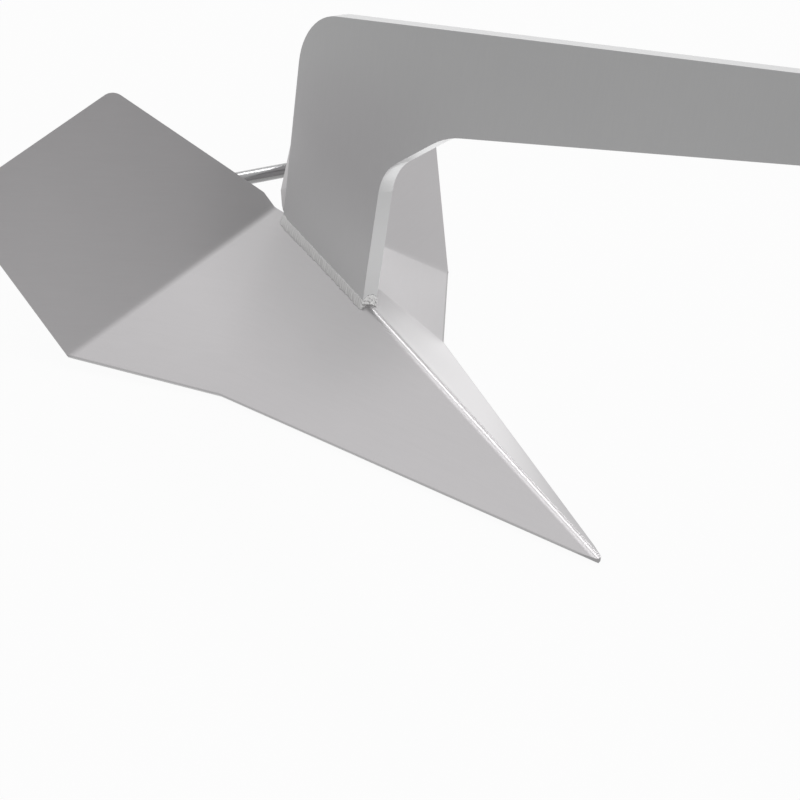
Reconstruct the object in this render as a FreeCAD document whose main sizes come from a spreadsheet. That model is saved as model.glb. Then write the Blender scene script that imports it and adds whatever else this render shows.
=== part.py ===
import FreeCAD, Part
import Sketcher
import math
import os

# Plough anchor of the fixed shank kind, in millimetres. +X points the way the tip points, +Z is up,
# and the anchor stands as it rests: on the two straight lower edges of its toe.
V = FreeCAD.Vector
doc = FreeCAD.newDocument("PloughAnchor")

# Driving dimensions. The heel is the highest point of the ridge, where the long toe facets end. Behind,
# ahead and above are distances from the heel, half is a distance to either side of the middle, and back
# is a distance behind the sharp point where the edges of the toe would meet.
dimensions = {
    "tip_ahead": 115.9,
    "plate_thick": 5.0,
    "edge_bevel": 1.5,
    "ridge_rise_angle": 13.3,
    "ridge_long": 364.0,
    "ridge_inside": 2.0,
    "kink_ahead": 67.34,
    "kink_half": 95.7,
    "corner_behind": 12.96,
    "corner_half": 163.7,
    "corner_high": 4.2,
    "root_behind": 11.26,
    "wing_bend_angle": 22.3,
    "wing_tall": 128.0,
    "wing_inner_angle": 20.6,
    "wing_corner_radius": 10.0,
    "fold_radius": 14.0,
    "notch_half": 5.4,
    "notch_tall": 12.6,
    "nose_back": 11.4,
    "nose_half": 1.9,
    "nose_taper_back": 26.0,
    "shank_thick": 12.0,
    "foot_long": 92.9,
    "heel_lean_angle": 2.6,
    "knee_above": 74.86,
    "knee_radius": 35.0,
    "throat_ahead": 148.7,
    "throat_above": 122.76,
    "throat_radius": 80.0,
    "arm_rise_angle": 20.1,
    "arm_deep": 66.0,
    "arm_taper_angle": 2.8,
    "arm_long": 410.5,
    "crown_radius": 45.0,
    "head_round_ratio": 0.9,
    "eye_bore": 14.0,
    "bar_behind": 57.76,
    "bar_above": 3.06,
    "bar_thick": 10.0,
    "weld_out": 3.0,
    "weld_up": 4.2,
    "weld_crown": 0.8,
    "end_weld_radius": 4.0,
    "bulkhead_weld_radius": 3.0,
    "bar_weld_wide": 3.5,
    "ballast_front_back": 62.0,
    "ballast_rear_back": 200.0,
    "cover_recess": 1.0,
    "cover_thick": 3.0,
    "cover_front_back": 44.0,
}

sheet = doc.addObject("Spreadsheet::Sheet", "sizes")
for row, (alias, number) in enumerate(dimensions.items(), 1):
    sheet.set(f"A{row}", alias)
    sheet.set(f"B{row}", str(number))
    sheet.setAlias(f"B{row}", alias)
doc.recompute()


def size(alias):
    return float(sheet.get(alias))


# Plane geometry: a plane is its unit normal and its distance from the origin along that normal.
def plane_through(first, second, third):
    normal = (second - first).cross(third - first).normalize()
    if normal.z < 0:
        normal = -normal
    return normal, normal.dot(first)


def sunk(plane, depth):
    return plane[0], plane[1] - depth


def side_wall(start, end, plane, inside, through=None):
    """The plane through a line of an outline, square to the plate; its normal points away from inside."""
    normal = (end - start).cross(plane[0]).normalize()
    if normal.dot(inside - start) > 0:
        normal = -normal
    return normal, normal.dot(through or start)


def meet(one, two, three):
    (p, a), (q, b), (r, c) = one, two, three
    return (q.cross(r) * a + r.cross(p) * b + p.cross(q) * c) / p.dot(q.cross(r))


middle_plane = (V(0, 1, 0), 0.0)


# The folded share. Each half is three flat facets: a long toe facet along the ridge, a three-cornered
# side facet, and a wing folded up behind it. Points of the upper face come first, for the starboard
# half, then the points under them, where the lower faces of the plate meet.
def share_points():
    rise = math.radians(size("ridge_rise_angle"))
    tip = V(0, 0, 0)
    apex = V(-size("ridge_long") * math.cos(rise), 0, size("ridge_long") * math.sin(rise))
    kink = V(apex.x + size("kink_ahead"), -size("kink_half"), 0)
    corner = V(apex.x - size("corner_behind"), -size("corner_half"), size("corner_high"))
    toe = plane_through(tip, kink, apex)
    side = plane_through(apex, kink, corner)
    root = meet(side, middle_plane, (V(1, 0, 0), apex.x - size("root_behind")))

    # The wing turns up about the line from the root to the corner.
    fold = (root - corner).normalize()
    outward = fold.cross(side[0])
    if outward.dot(kink - corner) > 0:
        outward = -outward
    bend = math.radians(size("wing_bend_angle"))
    up_wing = outward * math.cos(bend) + side[0] * math.sin(bend)
    wing = plane_through(corner, root, corner + up_wing)

    notch = corner + fold * ((size("corner_half") - size("notch_half")) / fold.y)
    notch_end = notch + up_wing * size("notch_tall")
    climb = size("wing_tall") - size("notch_tall")
    lean = math.tan(math.radians(size("wing_inner_angle")))
    inner_end = notch_end + up_wing * climb - fold * (climb * lean)
    outer_end = corner + up_wing * size("wing_tall")
    upper = dict(tip=tip, apex=apex, kink=kink, corner=corner, notch=notch,
                 notch_end=notch_end, inner_end=inner_end, outer_end=outer_end)

    # Under face: parallel planes one plate thickness down, and outline walls square to the plate,
    # except the ground lower edge of the toe, which runs in by edge_bevel.
    depth = size("plate_thick")
    toe_under, side_under, wing_under = sunk(toe, depth), sunk(side, depth), sunk(wing, depth)
    toe_wall = sunk(side_wall(tip, kink, toe, apex), size("edge_bevel"))
    lower = {}
    lower["apex"] = meet(toe_under, side_under, middle_plane)
    lower["kink"] = meet(toe_under, side_under, toe_wall)
    lower["tip"] = meet(toe_under, middle_plane, toe_wall)
    side_edge = side_wall(kink, corner, side, apex, lower["kink"])
    lower["corner"] = meet(side_under, wing_under, side_edge)
    notch_edge = side_wall(notch, notch_end, wing, corner)
    lower["notch"] = meet(side_under, wing_under, notch_edge)
    outer_edge = side_wall(corner, outer_end, wing, notch, lower["corner"])
    end_edge = side_wall(outer_end, inner_end, wing, corner)
    inner_edge = side_wall(inner_end, notch_end, wing, corner)
    lower["outer_end"] = meet(wing_under, outer_edge, end_edge)
    lower["inner_end"] = meet(wing_under, end_edge, inner_edge)
    lower["notch_end"] = meet(wing_under, inner_edge, notch_edge)

    # Everything moves so that the lowest edge is at height zero and the box is centred on the origin.
    shift = V(size("tip_ahead"), 0, -min(point.z for point in lower.values()))
    for points in (upper, lower):
        for name in points:
            points[name] = points[name] + shift
    return upper, lower, shift


upper, lower, shift = share_points()
facets = {
    "toe": ("tip", "kink", "apex"),
    "side": ("apex", "kink", "corner", "notch"),
    "wing": ("notch", "corner", "outer_end", "inner_end", "notch_end"),
}


toe_plane, side_plane, wing_plane = [plane_through(*[upper[name] for name in names[:3]])
                                     for names in facets.values()]
toe_under, wing_under = sunk(toe_plane, size("plate_thick")), sunk(wing_plane, size("plate_thick"))
ridge = (upper["apex"] - upper["tip"]).normalize()
# Half of the angle that the two toe facets make over the ridge, and the ridge's outside bend radius.
ridge_half = math.acos(-toe_plane[0].y)
ridge_outside = size("ridge_inside") + size("plate_thick")
# Where the shank's front edge meets the line of the ridge.
foot_front = upper["apex"] - ridge * (size("foot_long") / math.cos(math.radians(size("ridge_rise_angle"))))


def height_on(plane, x, y):
    """How high a plane lies at a place."""
    normal, distance = plane
    return (distance - normal.x * x - normal.y * y) / normal.z


def reach_on(plane, x, z):
    """How far to the side a plane of the starboard half lies, at a distance ahead and a height."""
    normal, distance = plane
    return -(distance - normal.x * x - normal.z * z) / normal.y


# Drawing helpers. A frame is a placement whose third axis is the sketch's normal.
def frame_from(origin, along, normal):
    across = normal.cross(along)
    return FreeCAD.Placement(origin, FreeCAD.Rotation(along, across, normal, "ZXY"))


def new_body(label):
    body = doc.addObject("PartDesign::Body", label)
    body.Label = label
    return body


def origin_plane(body, role):
    return [part for part in body.Origin.OriginFeatures if part.Role == role][0]


def new_sketch(body, name, placement=None, role="XY_Plane"):
    sketch = body.newObject("Sketcher::SketchObject", name)
    sketch.AttachmentSupport = (origin_plane(body, role), [""])
    sketch.MapMode = "FlatFace"
    if placement:
        sketch.AttachmentOffset = placement
    return sketch


def draw_loop(sketch, points):
    """A closed outline of straight lines through flat points."""
    for start, end in zip(points, points[1:] + points[:1]):
        sketch.addGeometry(Part.LineSegment(start, end), False)


def draw_rounded(sketch, points, radii):
    """A closed outline of straight lines, with an arc of its own radius at each corner."""
    count = len(points)
    starts, ends, middles = [], [], []
    for index, (corner, radius) in enumerate(zip(points, radii)):
        back = (points[index - 1] - corner).normalize()
        ahead = (points[(index + 1) % count] - corner).normalize()
        half = back.getAngle(ahead) / 2
        reach = radius / math.tan(half) if radius else 0
        centre = corner + (back + ahead).normalize() * (radius / math.sin(half))
        starts.append(corner + back * reach)
        ends.append(corner + ahead * reach)
        middles.append(centre + (corner - centre).normalize() * radius if radius else corner)
    for index in range(count):
        if radii[index]:
            sketch.addGeometry(Part.Arc(starts[index], middles[index], ends[index]), False)
        sketch.addGeometry(Part.LineSegment(ends[index], starts[(index + 1) % count]), False)


def draw_circle(sketch, centre, alias, factor):
    index = sketch.addGeometry(Part.Circle(centre, V(0, 0, 1), size(alias) * factor), False)
    constraint = sketch.addConstraint(Sketcher.Constraint("Radius", index, size(alias) * factor))
    sketch.setExpression(f"Constraints[{constraint}]", f"sizes.{alias} * {factor}")


def loft_between(body, name, first, second):
    """A ruled loft between two flat outlines, each a frame and the points drawn in it."""
    sections = []
    for order, (frame, points) in enumerate((first, second)):
        sketch = new_sketch(body, f"{name}_section_{order}", frame)
        to_frame = frame.inverse()
        draw_loop(sketch, [to_frame.multVec(point) for point in points])
        sections.append(sketch)
    loft = body.newObject("PartDesign::AdditiveLoft", name)
    loft.Profile = sections[0]
    loft.Sections = [sections[1]]
    loft.Ruled = True
    return loft


def mirror(body, name, features):
    mirrored = body.newObject("PartDesign::Mirrored", name)
    mirrored.Originals = features
    mirrored.MirrorPlane = (origin_plane(body, "XZ_Plane"), [""])
    body.Tip = mirrored
    return mirrored


def pad(body, name, sketch, formula, both_ways=False):
    added = body.newObject("PartDesign::Pad", name)
    added.Profile = sketch
    added.setExpression("Length", formula)
    added.Midplane = both_ways
    return added


def pocket(body, name, sketch, formula, both_ways=False, turned_round=False):
    cut = body.newObject("PartDesign::Pocket", name)
    cut.Profile = sketch
    cut.setExpression("Length", formula)
    cut.Midplane = both_ways
    cut.Reversed = turned_round
    return cut


def edge_along(feature, start, end):
    """The name of the longest edge with both its ends on the line through two points."""
    line, near = (end - start).normalize(), 0.01
    found = {}
    for number, edge in enumerate(feature.Shape.Edges, 1):
        off_line = [(vertex.Point - start).cross(line).Length for vertex in edge.Vertexes]
        if len(off_line) == 2 and max(off_line) < near:
            found[edge.Length] = f"Edge{number}"
    return found[max(found)]


def fillet(body, name, feature, pairs, formula):
    doc.recompute()
    rounding = body.newObject("PartDesign::Fillet", name)
    rounding.Base = (feature, [edge_along(feature, *pair) for pair in pairs])
    rounding.setExpression("Radius", formula)
    return rounding


def both_sides(start, end):
    return [(start, end), (V(start.x, -start.y, start.z), V(end.x, -end.y, end.z))]


def behind_tip(back, half=0.0):
    """A point from its distances behind and beside the sharp point of the toe, at that point's height."""
    return V(-back, -half, 0) + shift


def from_heel(ahead, above):
    """A point in the middle plane from its distances ahead of the heel and above it."""
    return upper["apex"] + V(ahead, 0, above)


def crest_sketch(body, name, back, radius, below, corners):
    """A sketch square to the ridge, at a distance back along it: an arc that bends from one toe facet to
    the other, the ridge's top or a line below it, closed by corners that the arc's ends are put before
    and behind."""
    sketch = new_sketch(body, name, frame_from(upper["tip"] + ridge * back, V(0, 1, 0), -ridge))
    across = radius * math.cos(ridge_half)
    bend = V(across, -below - across / math.tan(ridge_half), 0)
    other = V(-bend.x, bend.y, 0)
    crest = V(0, radius - radius / math.sin(ridge_half) - below, 0)
    sketch.addGeometry(Part.Arc(other, crest, bend), False)
    points = [bend] + [V(across, up, 0) for across, up in corners] + [other]
    for start, end in zip(points, points[1:]):
        sketch.addGeometry(Part.LineSegment(start, end), False)
    return sketch


def make_share():
    body = new_body("share")
    halves = []
    for facet, names in facets.items():
        top = [upper[name] for name in names]
        under = [lower[name] for name in names]
        normal = plane_through(*top[:3])[0]
        along = (top[1] - top[0]).normalize()
        halves.append(loft_between(body, facet, (frame_from(top[0], along, normal), top),
                                   (frame_from(under[0], along, normal), under)))
    whole = mirror(body, "other_half", halves)

    # The ridge is one bend, as far back as the side facets: what stands proud of its round goes, and
    # behind the nose its inside is filled to a round about the same line.
    half = ridge_outside * math.cos(ridge_half)
    proud = crest_sketch(body, "ridge_round", 0, ridge_outside, 0, [(half, 0), (-half, 0)])
    pocket(body, "ridge_bend", proud, "sizes.ridge_long")
    deep = size("plate_thick") / math.sin(ridge_half)
    hollow = crest_sketch(body, "ridge_hollow", size("ridge_long"), size("ridge_inside"), deep,
                          [(0, -deep)])
    pad(body, "ridge_bend_inside", hollow, "sizes.ridge_long - sizes.nose_taper_back")

    # The nose is cut back from the sharp point, with a taper to each side that runs out past the
    # toe's edge, and rounded corners.
    taper_half = reach_on(toe_plane, behind_tip(size("nose_taper_back")).x, upper["tip"].z)
    run_out = size("nose_taper_back") - size("nose_back"), taper_half - size("nose_half")
    far_back, far_half = size("nose_taper_back") + run_out[0], taper_half + run_out[1]
    outline = [(far_back, far_half), (size("nose_back"), size("nose_half"))]
    outline += [(back, -half) for back, half in reversed(outline)]
    outline += [(far_back, -2 * far_half), (-far_back, -2 * far_half),
                (-far_back, 2 * far_half), (far_back, 2 * far_half)]
    nose = new_sketch(body, "nose_outline")
    flat = [behind_tip(back, half) for back, half in outline]
    draw_rounded(nose, [V(point.x, point.y, 0) for point in flat],
                 [0, size("nose_half"), size("nose_half"), 0, 0, 0, 0, 0])
    nose_cut = pocket(body, "nose", nose, "sizes.nose_taper_back * 2", both_ways=True)

    # The wings' outer corners are rounded, and the plate is bent, not creased, where they turn up.
    corners = fillet(body, "wing_corners", nose_cut,
                     [pair for name in ("outer_end", "inner_end")
                      for pair in both_sides(upper[name], lower[name])],
                     "sizes.wing_corner_radius")
    above = fillet(body, "wing_bends_above", corners,
                   both_sides(upper["notch"], upper["corner"]), "sizes.fold_radius")
    fillet(body, "wing_bends_below", above,
           both_sides(lower["notch"], lower["corner"]), "sizes.fold_radius + sizes.plate_thick")
    return body


def trimmed(label, base, tools):
    """A piece cut to the surfaces of the pieces that it is fitted to."""
    for number, tool in enumerate(tools):
        last = number == len(tools) - 1
        cut = doc.addObject("Part::Cut", label if last else f"{label}_{number}")
        cut.Base, cut.Tool = base, tool
        base = cut
    base.Label = label
    return base


def side_frame():
    """A sketch frame in the middle plane: first axis ahead, second axis up."""
    return frame_from(V(0, 0, 0), V(1, 0, 0), V(0, -1, 0))


def shank_outline():
    """Corner points of the shank's side view, and the radius of each corner."""
    arm_slope = math.tan(math.radians(size("arm_rise_angle")))
    top_slope = math.tan(math.radians(size("arm_rise_angle") - size("arm_taper_angle")))
    lean = math.tan(math.radians(size("heel_lean_angle")))

    # The foot is cut longer than it has to be, and then coped to the ridge.
    sink = size("shank_thick") / math.tan(ridge_half)
    front_foot = foot_front - V(0, 0, sink)
    rear_foot = from_heel(0, -sink)
    knee = from_heel(size("foot_long"), size("knee_above"))
    throat = from_heel(size("throat_ahead"), size("throat_above"))

    # The arm: its upper edge starts arm_deep above the throat and closes in by arm_taper_angle.
    # Its head is rounded by nearly half of its depth, round the eye.
    deep = size("arm_deep") / math.cos(math.radians(size("arm_rise_angle")))
    eye_x = throat.x + size("arm_long")
    lower_end = throat.z + arm_slope * (eye_x - throat.x)
    upper_end = throat.z + deep + top_slope * (eye_x - throat.x)
    middle_rise = math.radians(size("arm_rise_angle") - size("arm_taper_angle") / 2)
    head = (upper_end - lower_end) / 2 * math.cos(middle_rise)
    eye = V(eye_x, 0, (lower_end + upper_end) / 2)
    lower_tip = V(eye_x + head, 0, lower_end + arm_slope * head)
    upper_tip = V(eye_x + head, 0, upper_end + top_slope * head)
    crown_z = throat.z + deep + top_slope * (rear_foot.x - throat.x)
    crown = V(rear_foot.x - lean * (crown_z - rear_foot.z), 0, crown_z)
    round_head = size("head_round_ratio") * head
    corners = [(front_foot, 0), (knee, size("knee_radius")), (throat, size("throat_radius")),
               (lower_tip, round_head), (upper_tip, round_head), (crown, size("crown_radius")),
               (rear_foot, 0)]
    return corners, eye


def make_shank():
    body = new_body("shank_plate_body")
    corners, eye = shank_outline()
    profile = new_sketch(body, "shank_profile", side_frame())
    draw_rounded(profile, [V(point.x, point.z, 0) for point, _ in corners],
                 [radius for _, radius in corners])
    pad(body, "shank_plate", profile, "sizes.shank_thick", both_ways=True)
    bore = new_sketch(body, "shackle_hole", side_frame())
    draw_circle(bore, V(eye.x, eye.z, 0), "eye_bore", 0.5)
    pocket(body, "shackle_eye", bore, "sizes.shank_thick * 2", both_ways=True)

    # The foot sits astride the ridge, and its heel on the first of the two side facets.
    wide, low = size("shank_thick"), -size("ridge_long")
    flank = -wide / math.tan(ridge_half)
    corners = [(wide, flank), (wide, low), (-wide, low), (-wide, flank)]
    saddle = crest_sketch(body, "saddle", 0, ridge_outside, 0, corners)
    pocket(body, "foot_cope", saddle, "sizes.ridge_long * 2")
    return trimmed("shank", body, [share])


def make_crossbar():
    """A round bar behind the shank, its ends cut to the slant of the wings' rear faces."""
    body = new_body("crossbar")
    axis = from_heel(-size("bar_behind"), size("bar_above"))
    half = reach_on(wing_under, axis.x, axis.z)
    section = new_sketch(body, "bar_section", side_frame())
    draw_circle(section, V(axis.x, axis.z, 0), "bar_thick", 0.5)
    pad(body, "bar", section, f"{2 * half} + sizes.bar_thick * 8", both_ways=True)
    end = V(axis.x, -half, axis.z)
    along = V(0, 1, 0).cross(wing_under[0]).normalize()
    slant = new_sketch(body, "end_slant", frame_from(end, along, wing_under[0]))
    draw_circle(slant, V(0, 0, 0), "bar_thick", 5)
    trim = pocket(body, "starboard_end", slant, "sizes.bar_thick * 6", turned_round=True)
    mirror(body, "port_end", [trim])
    return body


def make_side_bead(label, side, tools):
    """The fillet weld along one side of the foot: a slightly crowned triangle run along the ridge."""
    body = new_body(label)
    rise = math.radians(size("ridge_rise_angle"))
    half = size("shank_thick") / 2
    length = size("foot_long") / math.cos(rise) - size("weld_up") * math.tan(rise)
    root = V(half * side, -half / math.tan(ridge_half), 0)
    toe = root + V(math.sin(ridge_half) * side, -math.cos(ridge_half), 0) * size("weld_out")
    top = root + V(0, size("weld_up"), 0)
    inner = root - V(side, 1, 0) * (half / 8)
    bulge = (top - toe).cross(V(0, 0, side)).normalize() * size("weld_crown")
    section = new_sketch(body, f"{label}_section", frame_from(upper["apex"], V(0, 1, 0), -ridge))
    section.addGeometry(Part.Arc(toe, (toe + top) / 2 + bulge, top), False)
    section.addGeometry(Part.LineSegment(top, inner), False)
    section.addGeometry(Part.LineSegment(inner, toe), False)
    pad(body, f"{label}_run", section, f"{length}")
    return trimmed(label, body, tools)


def make_chevron_bead(label, crest, end, radius_alias, tools):
    """A round bead that runs down both sides from a crest in the middle plane, with rounded ends."""
    body = new_body(label)
    along = (end - crest).normalize()
    reach, radius = crest.distanceToPoint(end), size(radius_alias)
    slope = radius * math.sqrt(0.5)
    start, finish = V(-radius, 0, 0), V(reach + radius, 0, 0)
    half = new_sketch(body, f"{label}_half", frame_from(crest, along, along.cross(V(1, 0, 0)).normalize()))
    half.addGeometry(Part.Arc(start, V(-slope, slope, 0), V(0, radius, 0)), False)
    half.addGeometry(Part.LineSegment(V(0, radius, 0), V(reach, radius, 0)), False)
    half.addGeometry(Part.Arc(V(reach, radius, 0), V(reach + slope, slope, 0), finish), False)
    half.addGeometry(Part.LineSegment(finish, start), False)
    run = body.newObject("PartDesign::Revolution", f"{label}_run")
    run.Profile = half
    run.ReferenceAxis = (half, ["H_Axis"])
    run.Angle = 360
    mirror(body, f"{label}_other_run", [run])
    return trimmed(label, body, tools)


def make_end_weld(label, side, crossbar):
    """The collar of weld round one slanted end of the crossbar, on the wing's rear face."""
    body = new_body(label)
    normal = -V(wing_under[0].x, -side * wing_under[0].y, wing_under[0].z)
    axis = from_heel(-size("bar_behind"), size("bar_above"))
    end = V(axis.x, reach_on(wing_under, axis.x, axis.z) * side, axis.z)
    inward = V(0, -side, 0)
    slant = inward.dot(normal)
    along = (inward - normal * slant).normalize()
    rings = []
    for order, (rise, spread) in enumerate(((0.0, size("bar_weld_wide")), (size("bar_weld_wide"), 0.3))):
        centre = end + inward * (rise / slant)
        ring = new_sketch(body, f"{label}_ring_{order}", frame_from(centre, along, normal))
        long_half = size("bar_thick") / 2 / slant + spread
        short_half = size("bar_thick") / 2 + spread
        ring.addGeometry(Part.Ellipse(V(long_half, 0, 0), V(0, short_half, 0), V(0, 0, 0)), False)
        rings.append(ring)
    collar = body.newObject("PartDesign::AdditiveLoft", f"{label}_collar")
    collar.Profile = rings[0]
    collar.Sections = [rings[1]]
    collar.Ruled = True
    return trimmed(label, body, [crossbar])


def make_toe_piece(label, front_x, rear_x, low, high=None):
    """A piece of the toe's filling, flat below, its sides cut to the slope of the toe's inner faces. It
    reaches from one height to another, or to the ridge, where it is fitted to the inside of the bend."""
    body = new_body(label)
    spare = size("plate_thick") / 2
    plan = new_sketch(body, f"{label}_plan", FreeCAD.Placement(V(0, 0, low), FreeCAD.Rotation()))
    front_half, rear_half = (reach_on(toe_under, x, low) + spare for x in (front_x, rear_x))
    draw_loop(plan, [V(front_x, -front_half, 0), V(front_x, front_half, 0),
                     V(rear_x, rear_half, 0), V(rear_x, -rear_half, 0)])
    top = high or height_on(toe_under, rear_x, 0)
    pad(body, f"{label}_block", plan, f"{top - low}")
    foot = V(rear_x, -reach_on(toe_under, rear_x, low), low)
    slope = new_sketch(body, f"{label}_slope", frame_from(foot, ridge, toe_under[0]))
    draw_circle(slope, V(0, 0, 0), "ridge_long", 1)
    side = pocket(body, f"{label}_starboard_side", slope, "sizes.ridge_long", turned_round=True)
    mirror(body, f"{label}_port_side", [side])
    return body if high else trimmed(label, body, [share])


share = make_share()
shank = make_shank()
crossbar = make_crossbar()
pieces = {"share": share, "shank": shank, "crossbar": crossbar}

# Welds all round the shank's foot, and a collar at each end of the crossbar.
for name, crest in (("front", foot_front), ("heel", upper["apex"])):
    half = size("shank_thick") / 2
    end = V(crest.x, -half, crest.z - half / math.tan(ridge_half))
    pieces[f"shank_weld_{name}"] = make_chevron_bead(f"shank_weld_{name}", crest, end,
                                                     "end_weld_radius", [share, shank])
neighbours = [share, shank, pieces["shank_weld_front"], pieces["shank_weld_heel"]]
for name, side in (("starboard", -1), ("port", 1)):
    pieces[f"shank_weld_{name}"] = make_side_bead(f"shank_weld_{name}", side, neighbours)
    pieces[f"bar_weld_{name}"] = make_end_weld(f"bar_weld_{name}", side, crossbar)

# The toe is weighted: a poured ballast wedge, a cover plate under it and a bulkhead behind it.
cover_low = size("cover_recess")
cover_top = cover_low + size("cover_thick")
ballast_front, ballast_rear = (behind_tip(size(f"ballast_{end}_back")).x for end in ("front", "rear"))
bulkhead_rear = ballast_rear - size("cover_thick")
pieces["toe_ballast"] = make_toe_piece("toe_ballast", ballast_front, ballast_rear, cover_top)
pieces["toe_bulkhead"] = make_toe_piece("toe_bulkhead", ballast_rear, bulkhead_rear, cover_top)
pieces["toe_cover"] = make_toe_piece("toe_cover", behind_tip(size("cover_front_back")).x, bulkhead_rear,
                                     cover_low, cover_top)
crest = V(bulkhead_rear, 0, height_on(toe_under, bulkhead_rear, 0))
end = V(bulkhead_rear, -reach_on(toe_under, bulkhead_rear, cover_top), cover_top)
pieces["bulkhead_weld"] = make_chevron_bead("bulkhead_weld", crest, end, "bulkhead_weld_radius",
                                            [share, pieces["toe_bulkhead"], pieces["toe_cover"]])

doc.recompute()
for one in doc.Objects:
    if "Invalid" in one.State or "Error" in one.State:
        raise RuntimeError(f"{one.Name} failed: {one.State}")
for name, piece in pieces.items():
    if piece.Shape.isNull() or not piece.Shape.isValid() or len(piece.Shape.Solids) != 1:
        raise RuntimeError(f"{name} is not one sound solid")
    print(name, round(piece.Shape.Volume / 1000, 2), "cm3")
whole = Part.makeCompound([piece.Shape for piece in pieces.values()]).optimalBoundingBox()
print("box", whole)
os.makedirs("parts", exist_ok=True)
for name, piece in pieces.items():
    piece.Shape.exportStep(f"parts/{name}.step")
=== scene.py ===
import bpy
import math
import numpy as np
from mathutils import Matrix, Vector


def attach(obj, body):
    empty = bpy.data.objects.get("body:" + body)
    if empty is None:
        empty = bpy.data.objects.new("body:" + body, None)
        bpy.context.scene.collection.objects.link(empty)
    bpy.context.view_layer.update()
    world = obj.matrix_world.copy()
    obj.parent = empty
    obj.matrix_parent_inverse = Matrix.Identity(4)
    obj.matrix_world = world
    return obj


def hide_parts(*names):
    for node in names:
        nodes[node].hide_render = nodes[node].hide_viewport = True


# A plough anchor of satin steel, standing on the edges of its toe. Metres; +X ahead, +Y to port, +Z up.
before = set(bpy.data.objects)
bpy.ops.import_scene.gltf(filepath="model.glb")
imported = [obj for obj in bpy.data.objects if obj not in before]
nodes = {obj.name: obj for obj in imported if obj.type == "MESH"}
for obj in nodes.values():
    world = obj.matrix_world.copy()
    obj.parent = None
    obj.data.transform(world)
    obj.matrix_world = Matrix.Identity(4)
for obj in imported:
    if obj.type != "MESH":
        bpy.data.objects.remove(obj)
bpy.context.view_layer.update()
print("frame loaded:", len(nodes), "nodes")


# Shader maths: a socket that takes part in plain expressions, each of which adds a Math node.
class Wire:
    def __init__(self, maker, socket):
        self.maker, self.socket = maker, socket

    def math(self, operation, *others):
        return self.maker.node("ShaderNodeMath", {"operation": operation}, [self, *others])

    def __add__(self, other): return self.math("ADD", other)
    def __mul__(self, other): return self.math("MULTIPLY", other)
    def __rmul__(self, other): return self.math("MULTIPLY", other)
    def __sub__(self, other): return self.math("SUBTRACT", other)
    def __truediv__(self, other): return self.math("DIVIDE", other)
    def __pow__(self, other): return self.math("POWER", other)

    def __rsub__(self, other):
        return self.maker.node("ShaderNodeMath", {"operation": "SUBTRACT"}, [other, self])


class Shader:
    # One material or world: node() makes any node from its type, its settings and its inputs.
    def __init__(self, owner):
        owner.use_nodes = True
        self.tree = owner.node_tree
        self.tree.nodes.clear()

    def node(self, kind, settings=None, inputs=None, output=0):
        made = self.tree.nodes.new(kind)
        for key, value in (settings or {}).items():
            setattr(made, key, value)
        pairs = enumerate(inputs) if isinstance(inputs, list) else (inputs or {}).items()
        for key, value in pairs:
            if isinstance(value, Wire):
                self.tree.links.new(value.socket, made.inputs[key])
            elif value is not None:
                made.inputs[key].default_value = value
        return Wire(self, made.outputs[output]) if made.outputs else made

    def noise(self, place, scale, detail, roughness=0.5):
        return self.node("ShaderNodeTexNoise", {}, {"Vector": place, "Scale": scale, "Detail": detail,
                                                    "Roughness": roughness})

    def stretched(self, place, scale):
        return self.node("ShaderNodeMapping", {}, {"Vector": place, "Scale": scale})

    def ramped(self, value, start, end, low, high):
        smooth = {"interpolation_type": "SMOOTHSTEP"}
        return self.node("ShaderNodeMapRange", smooth, [value, start, end, low, high])

    def along(self, place, direction):
        product = {"operation": "DOT_PRODUCT"}
        return self.node("ShaderNodeVectorMath", product, {0: place, 1: direction}, output=1)

    def mixColour(self, factor, first, second):
        return self.node("ShaderNodeMix", {"data_type": "RGBA"}, {0: factor, 6: first, 7: second}, output=2)

    def finish(self, surface):
        self.node("ShaderNodeOutputMaterial", {}, {"Surface": surface})


def rgb(level, tint=(1, 1, 1)):
    return (level * tint[0], level * tint[1], level * tint[2], 1)


def unit(vectors):
    return vectors / np.linalg.norm(vectors, axis=-1, keepdims=True)


# The share's upper face, starboard half: corners of its facets, and the ridge's rounded half width.
shareShape = {
    "tip": (0.11590, 0.0, 0.00311),
    "apex": (-0.23834, 0.0, 0.08685),
    "kink": (-0.17100, -0.09570, 0.00311),
    "corner": (-0.25130, -0.16370, 0.00731),
    "ridgeHalf": 0.00398,
    "bendRadius": (0.120, 0.014),  # of the soft bend between the toe and the side facet, starboard and port
}


def facetPlane(*names):
    # The unit normal, pointing up, of the plane through three corners, and its distance from the origin.
    first, second, third = (np.array(shareShape[name]) for name in names)
    normal = unit(np.cross(second - first, third - first))
    normal = normal * np.sign(normal[2])
    return normal, normal @ first


ridgeLine = unit(np.array(shareShape["apex"]) - shareShape["tip"])
toePlane = facetPlane("tip", "kink", "apex")
sidePlane = facetPlane("apex", "kink", "corner")


def shareTop(x, y):
    # Height of the share's upper face: on each side the higher of the toe's and the side facet's planes,
    # with a parabola across the ridge in place of its sharp line.
    half = shareShape["ridgeHalf"]
    spread = np.where(np.abs(y) < half, (y * y + half * half) / (2 * half), np.abs(y))
    heights = [(level - normal[0] * x + normal[1] * spread) / normal[2]
               for normal, level in (toePlane, sidePlane)]
    return np.maximum(*heights)


def arcLength(points):
    steps = np.linalg.norm(np.diff(points, axis=0), axis=1)
    return np.concatenate([[0.0], np.cumsum(steps)])


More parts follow.
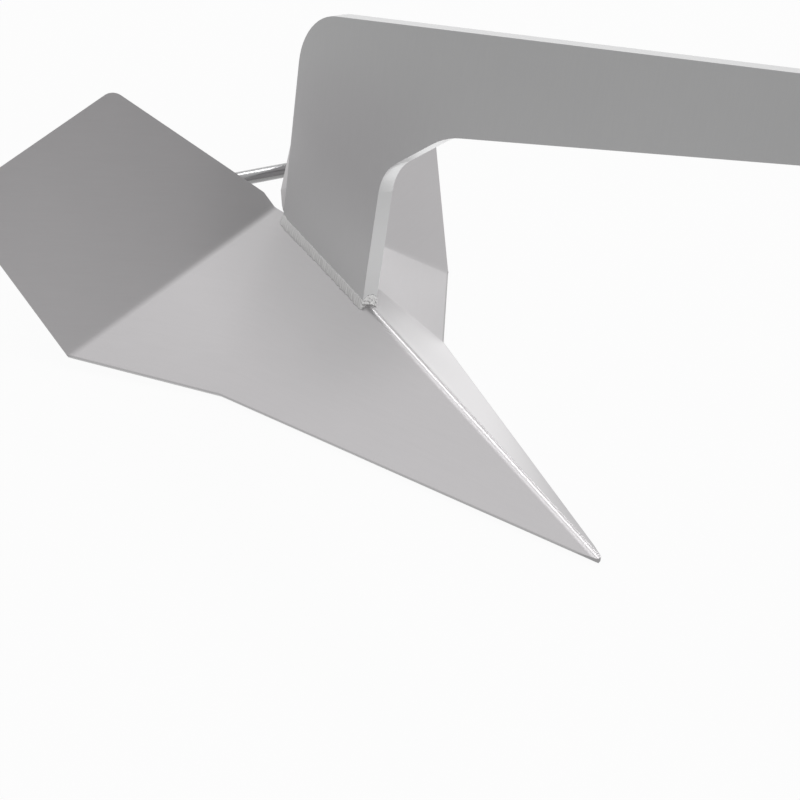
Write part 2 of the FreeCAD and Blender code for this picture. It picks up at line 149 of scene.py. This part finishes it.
# The weld bead round the shank's foot. It is carried along its root, the inside corner between shank and
# share. Its section runs from the toe, on the share, to the top, on the shank, in a line plus a crown.
def makeBead(name, sizes, root, toe, top, away, lumps, stands):
    # Point (s, t) of the face: toe * (1 - t) + top * t, pushed away by the crown's parabola, by the
    # ripples, which are cosines bowed back along the run, and by lumps, products of two slanted sines.
    arc = arcLength(toe)[:, None]
    t = np.linspace(0, 1, sizes["around"])[None, :]
    parabola = 4 * t * (1 - t)
    bow = (2 * t - 1) ** 2
    ripple = np.cos(2 * math.pi * (arc / sizes["pitch"] - sizes["bow"] * bow)) * np.sqrt(parabola)
    (short, shortSlant), (long, longSlant) = sizes["lumpWaves"]
    lump = np.sin(arc / short + shortSlant * t) * np.sin(arc / long + longSlant * t + 1) * parabola
    push = sizes["crown"] * parabola + sizes["ripple"] * ripple + sizes["lump"] * lumps[:, None] * lump
    face = toe[:, None] * (1 - t[..., None]) + top[:, None] * t[..., None] + away[:, None] * push[..., None]
    buried = root[:, None] - away[:, None] * sizes["sink"]
    grid = np.concatenate([face, buried], axis=1)
    rows, columns = grid.shape[:2]
    here = np.arange(rows * columns).reshape(rows, columns)
    ahead = np.roll(here, -1, axis=0)
    quads = np.stack([here, np.roll(here, -1, axis=1), np.roll(ahead, -1, axis=1), ahead], axis=-1)
    quads = quads.reshape(-1, 4)
    points = grid.reshape(-1, 3)
    corners = points[quads]
    if np.einsum("ij,ij->", corners[:, 0], np.cross(corners[:, 1], corners[:, 2])) < 0:
        quads = quads[:, ::-1]
    mesh = bpy.data.meshes.new(name)
    mesh.from_pydata(points.tolist(), [], quads.tolist())
    mesh.shade_smooth()
    mesh.materials.append(weldSteel)
    piece = bpy.data.objects.new(name, mesh)
    bpy.context.scene.collection.objects.link(piece)
    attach(piece, "root")
    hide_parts(*stands)


footWeld = {
    "rear": -0.23834, "front": -0.14544, "half": 0.006,  # the foot's outline
    "out": (0.0021, 0.0007), "up": (0.0058, 0.0075),  # the legs at the heel and at the front
    "narrowing": 2.5,  # how fast the bead narrows from the heel
    "wave": 0.0004,  # how far its edges wander
    "waves": ((0.0031, 0.6), (0.0053, 1.0), (0.0171, 0.7)),  # lengths of that wandering, and their shares
    "starts": (0.4, 2.1, 1.7),  # where the waves start at the toe and the top, and how far apart they are
    "crown": 0.0003, "pitch": 0.0022, "bow": 0.4, "ripple": 0.00016,
    "lumpsFrom": 0.003,  # how far behind the front its lumpy end starts
    "frontSmaller": 0.4,  # how much smaller the bead is there
    "lump": 0.0007,
    "lumpWaves": ((0.00033, 4), (0.00071, -13)),  # lengths of the lumps' two waves, and their slants
    "sink": 0.0006, "bite": 0.00005,  # how deep the root and the toe lie inside the plates
    "step": 0.00035, "turnSteps": 14, "around": 12,
}


def wander(arc, sizes, start):
    # How an edge of the bead wanders: a sum of sines of three lengths, between about minus one and one.
    apart = sizes["starts"][2]
    total = sum(part * np.sin(2 * math.pi * arc / length + start * (index + apart))
                for index, (length, part) in enumerate(sizes["waves"]))
    return sizes["wave"] * total / sum(part for _, part in sizes["waves"])


def footPath(sizes):
    # Once round the foot's outline: places along each side, and at each corner one place whose outward
    # direction turns from square to the side to along it. Gives the places and the outward directions.
    rear, front, half = sizes["rear"], sizes["front"], sizes["half"]
    corners = [(rear, -half), (front, -half), (front, half), (rear, half)]
    places, outward = [], []
    for number in range(4):
        start, end = np.array(corners[number]), np.array(corners[(number + 1) % 4])
        length = np.linalg.norm(end - start)
        t = np.arange(sizes["step"], length, sizes["step"])[:, None] / length
        along = (end - start) / length
        out = np.array([along[1], -along[0]])
        places += [start + (end - start) * t, np.repeat(end[None], sizes["turnSteps"], axis=0)]
        angle = np.linspace(0, math.pi / 2, sizes["turnSteps"])[:, None]
        outward += [np.repeat(out[None], len(t), axis=0), out * np.cos(angle) + along * np.sin(angle)]
    return np.concatenate(places), np.concatenate(outward)


def makeFootWeld(sizes):
    place, outward = footPath(sizes)
    x, y = place.T
    root = np.column_stack([x, y, shareTop(x, y)])
    arc = arcLength(place + outward * sizes["out"][1])
    atFront = np.clip(1 - (sizes["front"] - x) / sizes["lumpsFrom"], 0, 1)
    t = (x - sizes["rear"]) / (sizes["front"] - sizes["rear"])
    heelOut, frontOut = sizes["out"]
    heelUp, frontUp = sizes["up"]
    smaller = 1 - sizes["frontSmaller"] * atFront
    reach = frontOut + (heelOut - frontOut) * (1 - t) ** sizes["narrowing"]
    toeStart, topStart, _ = sizes["starts"]
    reach = reach * smaller + wander(arc, sizes, toeStart)
    climb = heelUp + (frontUp - heelUp) * t + wander(arc, sizes, topStart)
    far = place + outward * reach[:, None]
    toe = np.column_stack([far, shareTop(*far.T) - sizes["bite"]])
    top = root + climb[:, None] * np.array([0, 0, 1])
    away = np.column_stack([outward, np.zeros(len(x))]) * smaller[:, None]
    makeBead("footWeld", sizes, root, toe, top, away, atFront,
             [f"shank_weld_{side}" for side in ("starboard", "port", "front", "heel")])


# What the finishes share: soft clouds of tone and a fine grain, how much they change tone and gloss, and
# the level of the colour that painted shade darkens toward.
grainSizes = {
    "clouds": 9.0, "cloudDetail": 3.0, "fineDetail": 4.0, "fineRoughness": 0.6,
    "tone": 0.05, "cloudGloss": 0.02, "fineGloss": 0.03, "dark": 0.5,
}
# Each finish: its level and tint, its gloss, its grain's spacing along X, Y and Z, and the grain's height;
# for some, where painted shade or painted light is mixed in.
shareFinish = {
    "colour": 0.57, "tint": (1.02, 0.995, 1.01), "roughness": 0.305, "metallic": 0.8,
    "grain": (40.0, 40.0, 900.0), "relief": 0.00001, "bends": True,
    # The share's first darkening is painted shade beside the shank's foot, its second painted shade along
    # its lower edges.
    "footShade": {"reach": (0.004, 0.085), "dark": 0.34}, "edgeShade": {"reach": (0.0003, 0.0010), "dark": 0.55},
}
toeFinish = {
    "colour": 0.57, "tint": (1.02, 0.995, 1.01), "roughness": 0.305, "metallic": 0.8,
    "grain": (40.0, 40.0, 900.0), "relief": 0.00001,
}
shankFinish = {
    "colour": 0.58, "tint": (0.995, 0.995, 1.0), "roughness": 0.305, "metallic": 0.9,
    "grain": (900.0, 40.0, 60.0), "relief": 0.00001,
    # Painted light on the shank's lower part, beside its foot.
    "footLight": {"reach": (0.005, 0.085), "bright": 0.24, "rough": 0.22},
}
barFinish = {
    "colour": 0.40, "tint": (1.0, 1.0, 1.01), "roughness": 0.25, "metallic": 1.0,
    "grain": (600.0, 20.0, 600.0), "relief": 0.000001,
    # Painted shade on the bar's underside.
    "undersideShade": {"reach": (0.3, 0.9), "dark": 1.0},
}
weldFinish = {
    "colour": 0.72, "tint": (1.0, 0.995, 0.99), "roughness": 0.58, "metallic": 0.75,
    "grain": (300.0, 300.0, 300.0), "relief": 0.00006,
    "bright": {"from": -0.147, "over": 0.002, "roughness": 0.22},
}
ballastFinish = {
    "colour": 0.2, "tint": (0.97, 1.0, 1.03), "roughness": 0.6, "metallic": 0.6,
    "grain": (90.0, 90.0, 90.0), "relief": 0.00001,
}


def softBend(make, place):
    # Height of the bend between the toe and the side facet over their sharp meeting: the square of how far
    # a point is inside the bend, over twice its radius; upwards on the upper face, as on the lower one.
    kink, apex = (np.array(shareShape[name]) for name in ("kink", "apex"))
    fold = unit(apex - kink)
    across = unit(np.cross(fold, toePlane[0] + sidePlane[0]))
    turn = math.acos(toePlane[0] @ sidePlane[0])
    x, y, z = (make.node("ShaderNodeSeparateXYZ", {}, [place], output=axis) for axis in range(3))
    beside = make.node("ShaderNodeCombineXYZ", {}, [x, 0 - y.math("ABSOLUTE"), z])
    starboard, port = shareShape["bendRadius"]
    radius = y.math("LESS_THAN", 0.0) * (starboard - port) + port
    distance = (make.along(beside, across) - float(across @ kink)).math("ABSOLUTE")
    inside = (radius * math.tan(turn / 2) - distance).math("MAXIMUM", 0.0)
    normal = make.node("ShaderNodeNewGeometry", output=1)
    facing = make.node("ShaderNodeSeparateXYZ", {}, [normal], output=2)
    return inside * inside * facing.math("SIGN") / (2 * radius)


def pickledNear(make, place, sizes):
    # Painted shade beside the shank's foot: darkest there, fading with the distance from its line.
    x, y = (make.node("ShaderNodeSeparateXYZ", {}, [place], output=axis) for axis in range(2))
    beyond = x - x.math("MAXIMUM", footWeld["rear"]).math("MINIMUM", footWeld["front"])
    return make.ramped((beyond * beyond + y * y) ** 0.5, *sizes["reach"], sizes["dark"], 0.0)


def edgedNear(make, place, sizes):
    # Painted shade along the share's lower edges, in place of their shaded edge faces: by the height over
    # the line through tip, kink and corner.
    kink, corner = shareShape["kink"], shareShape["corner"]
    x, z = (make.node("ShaderNodeSeparateXYZ", {}, [place], output=axis) for axis in (0, 2))
    edge = make.node("ShaderNodeMapRange", {}, [x, corner[0], kink[0], corner[2], kink[2]])
    return make.ramped(z - edge, *sizes["reach"], sizes["dark"], 0.0)


def tarnishedBelow(make, place, sizes):
    # Painted shade on the crossbar's underside: darkest at the bottom, fading up to a part of its height.
    low, high = np.array(nodes["crossbar"].bound_box)[[0, 6], 2]
    z = make.node("ShaderNodeSeparateXYZ", {}, [place], output=2)
    return make.ramped((z - float(low)) / float(high - low), *sizes["reach"], sizes["dark"], 0.0)


def cleanedNear(make, place, sizes):
    # Painted light on the shank beside its foot, which also makes it rougher there: by the height over the
    # share's ridge, square to it.
    square = np.array([ridgeLine[2], 0, -ridgeLine[0]])
    above = make.along(place, tuple(square)) - float(square @ shareShape["tip"])
    return make.ramped(above, *sizes["reach"], 1.0, 0.0)


def makeSteel(name, finish):
    # Satin steel: slow clouds of tone, fine grain along one direction, and a faint bump of the same grain;
    # where a finish asks, painted shade or painted light mixed into its colour.
    material = bpy.data.materials.new(name)
    make = Shader(material)
    place = make.node("ShaderNodeTexCoord", output=3)
    clouds = make.noise(place, grainSizes["clouds"], grainSizes["cloudDetail"])
    spread = make.stretched(place, finish["grain"])
    fine = make.noise(spread, 1.0, grainSizes["fineDetail"], grainSizes["fineRoughness"])
    darker = rgb(finish["colour"] * (1 - grainSizes["tone"]), finish["tint"])
    lighter = rgb(finish["colour"] * (1 + grainSizes["tone"]), finish["tint"])
    tone = make.mixColour((clouds + fine) * 0.5, darker, lighter)
    dark = rgb(finish["colour"] * grainSizes["dark"])
    # Painted shade, mixed in where a finish asks: beside the shank's foot, along the share's lower edges,
    # under the crossbar.
    for kind, darkness in (("footShade", pickledNear), ("edgeShade", edgedNear), ("undersideShade", tarnishedBelow)):
        if kind in finish:
            tone = make.mixColour(darkness(make, place, finish[kind]), tone, dark)
    cloudGloss, fineGloss = grainSizes["cloudGloss"], grainSizes["fineGloss"]
    rough = clouds * cloudGloss + fine * fineGloss + (finish["roughness"] - (cloudGloss + fineGloss) / 2)
    # Painted light: the shank is mixed toward white beside its foot, and made rougher there.
    if "footLight" in finish:
        near = cleanedNear(make, place, finish["footLight"])
        tone = make.mixColour(near * finish["footLight"]["bright"], tone, rgb(1.0))
        rough = rough + near * finish["footLight"]["rough"]
    if "bright" in finish:
        sizes = finish["bright"]
        ahead = make.node("ShaderNodeSeparateXYZ", {}, [place])
        rough = make.ramped(ahead, sizes["from"], sizes["from"] + sizes["over"], rough, sizes["roughness"])
    height = fine * finish["relief"]
    if "bends" in finish:
        height = height + softBend(make, place)
    bump = make.node("ShaderNodeBump", {}, {"Strength": 1.0, "Distance": 1.0, "Height": height})
    surface = make.node("ShaderNodeBsdfPrincipled", {}, {
        "Base Color": tone, "Roughness": rough, "Metallic": finish["metallic"], "Normal": bump})
    make.finish(surface)
    return material


def dress(names, material):
    for name in names:
        nodes[name].data.materials.clear()
        nodes[name].data.materials.append(material)


shareSteel = makeSteel("shareSteel", shareFinish)
toeSteel = makeSteel("toeSteel", toeFinish)
shankSteel = makeSteel("shankSteel", shankFinish)
barSteel = makeSteel("barSteel", barFinish)
weldSteel = makeSteel("weldSteel", weldFinish)
ballastMetal = makeSteel("ballastMetal", ballastFinish)
dress(["share"], shareSteel)
dress(["toe_cover", "toe_bulkhead"], toeSteel)
dress(["shank"], shankSteel)
dress(["crossbar"], barSteel)
dress([name for name in nodes if "weld" in name], weldSteel)
dress(["toe_ballast"], ballastMetal)
print("finishes made")


# Edges eased by hand grinding: a piece's loose triangles are joined, and its sharp edges rounded. The
# share's own edges are bevelled already.
easing = {"widths": {"shank": 0.0006, "toe_cover": 0.0003}, "segments": 3, "angle": 40, "join": 0.00001}


def easeEdges(sizes):
    for name, width in sizes["widths"].items():
        join = nodes[name].modifiers.new("join", "WELD")
        join.merge_threshold = sizes["join"]
        ease = nodes[name].modifiers.new("ease", "BEVEL")
        ease.width, ease.segments, ease.limit_method = width, sizes["segments"], "ANGLE"
        ease.angle_limit = math.radians(sizes["angle"])
        ease.harden_normals = True


easeEdges(easing)
print("edges eased")

makeFootWeld(footWeld)
print("foot weld made")

# The camera's place and its three directions, as the photograph's outline gave them.
camera = {
    "place": (1.372292, -1.333213, 1.042409),
    "right": (0.61131, 0.77975, 0.13523),
    "up": (-0.43912, 0.19205, 0.87766),
    "back": (0.65839, -0.59590, 0.45980),
    "lens": 152.17, "sensor": 36.0,
    "clip": (0.05, 60.0),
}


def setCamera(sizes):
    data = bpy.data.cameras.new("camera")
    data.lens, data.sensor_width = sizes["lens"], sizes["sensor"]
    data.clip_start, data.clip_end = sizes["clip"]
    holder = bpy.data.objects.new("camera", data)
    columns = Matrix((sizes["right"], sizes["up"], sizes["back"])).transposed()
    holder.matrix_world = Matrix.Translation(sizes["place"]) @ columns.to_4x4()
    bpy.context.scene.collection.objects.link(holder)
    bpy.context.scene.camera = holder


setCamera(camera)
print("camera set")

studio = {
    "floorHalf": 12.0,
    "floorColour": 0.86,
    "floorGlow": 0.94,  # how much of the floor's white the camera sees; the rest takes the shadow
    "glossGlow": 0.85,  # the same in reflections, where the rest is the floor as the lamps light it
    "floorShine": (0.52, 1.45),  # the floor's level in reflections, to starboard and to port
    "floorShineFrom": (-0.42, 0.15),
    "floorDim": 0.62,  # how much of that is left ahead of the anchor
    "floorDimFrom": (-0.12, 0.04),
    "worldLight": 0.55,
    "skyShine": 0.95,  # the studio's level in reflections
    # Where it is darker: the direction, how much, and how many degrees off the dark starts and is full.
    "darker": [((0.70, 0.02, 0.72), 0.675, 38.0, 5.0), ((0.30, 0.92, 0.30), 0.20, 40.0, 5.0),
               ((-0.40, 0.84, 0.36), 0.14, 24.0, 6.0), ((0.0, -0.20, 0.98), 0.08, 24.0, 6.0)],
    # Each lamp's name, place, the place that it faces, its length, which lies along the share's ridge, and
    # width, and its power.
    "lamps": [("crestLamp", (-0.97, 1.41, 2.0), (-0.02, 0, 0.04), (1.1, 0.22), 6.0),
              ("portLamp", (-1.045, 2.2, 0.854), (0.06, 0, 0.02), (0.3, 0.2), 1.0),
              ("topLamp", (-0.78, 0.1, 2.45), (-0.02, 0, 0.04), (1.2, 0.7), 4.0),
              ("fillLamp", (0.325, -0.383, 0.44), (-0.26, -0.165, 0.02), (0.6, 0.6), 0.28)],
}


def makeFloor(sizes):
    half = sizes["floorHalf"]
    corners = [(-half, -half, 0), (half, -half, 0), (half, half, 0), (-half, half, 0)]
    mesh = bpy.data.meshes.new("floor")
    mesh.from_pydata(corners, [], [(0, 1, 2, 3)])
    floor = bpy.data.objects.new("floor", mesh)
    bpy.context.scene.collection.objects.link(floor)
    material = bpy.data.materials.new("paleFloor")
    make = Shader(material)
    seenByCamera, seenInGloss = (make.node("ShaderNodeLightPath", output=index) for index in (0, 3))
    place = make.node("ShaderNodeTexCoord", output=3)
    ahead, across = (make.node("ShaderNodeSeparateXYZ", {}, [place], output=axis) for axis in range(2))
    shine = make.ramped(across, *sizes["floorShineFrom"], *sizes["floorShine"])
    shine = shine * make.ramped(ahead, *sizes["floorDimFrom"], 1.0, sizes["floorDim"])
    grey = make.node("ShaderNodeCombineColor", {}, [shine, shine, shine])
    level = make.mixColour(seenInGloss, rgb(1.0), grey)
    plain = make.node("ShaderNodeBsdfDiffuse", {}, {"Color": rgb(sizes["floorColour"])})
    glow = make.node("ShaderNodeEmission", {}, {"Color": level, "Strength": 1.0})
    seen = seenByCamera * sizes["floorGlow"] + seenInGloss * sizes["glossGlow"]
    make.finish(make.node("ShaderNodeMixShader", {}, [seen, plain, glow]))
    mesh.materials.append(material)


def makeWorld(sizes):
    # White for the camera; reflections see it darker in places.
    world = bpy.data.worlds.new("studio")
    bpy.context.scene.world = world
    make = Shader(world)
    camera, gloss, through = (make.node("ShaderNodeLightPath", output=index) for index in (0, 3, 6))
    direction = make.node("ShaderNodeTexCoord", output=0)
    shine = sizes["skyShine"]
    for toward, depth, start, full in sizes["darker"]:
        near = make.along(direction, Vector(toward).normalized())
        edge, core = (math.cos(math.radians(angle)) for angle in (start, full))
        shine = shine - make.ramped(near, edge, core, 0.0, depth)
    level = gloss * shine + (1 - gloss) * sizes["worldLight"]
    white = camera.math("MAXIMUM", through)
    level = white + (1 - white) * level
    back = make.node("ShaderNodeBackground", {}, {
        "Color": make.node("ShaderNodeCombineColor", {}, [level, level, level]), "Strength": 1.0})
    make.node("ShaderNodeOutputWorld", {}, {"Surface": back})


def makeLamp(name, place, target, sides, power):
    data = bpy.data.lights.new(name, "AREA")
    data.shape, data.energy = "RECTANGLE", power
    data.size, data.size_y = sides
    lamp = bpy.data.objects.new(name, data)
    back = (Vector(place) - Vector(target)).normalized()
    along = Vector(ridgeLine)
    along = (along - back * along.dot(back)).normalized()
    turn = Matrix((along, back.cross(along), back)).transposed()
    lamp.matrix_world = Matrix.Translation(place) @ turn.to_4x4()
    lamp.visible_camera = False
    bpy.context.scene.collection.objects.link(lamp)


makeFloor(studio)
makeWorld(studio)
for lamp in studio["lamps"]:
    makeLamp(*lamp)
bpy.context.scene.view_settings.view_transform = "Standard"
print("studio set")
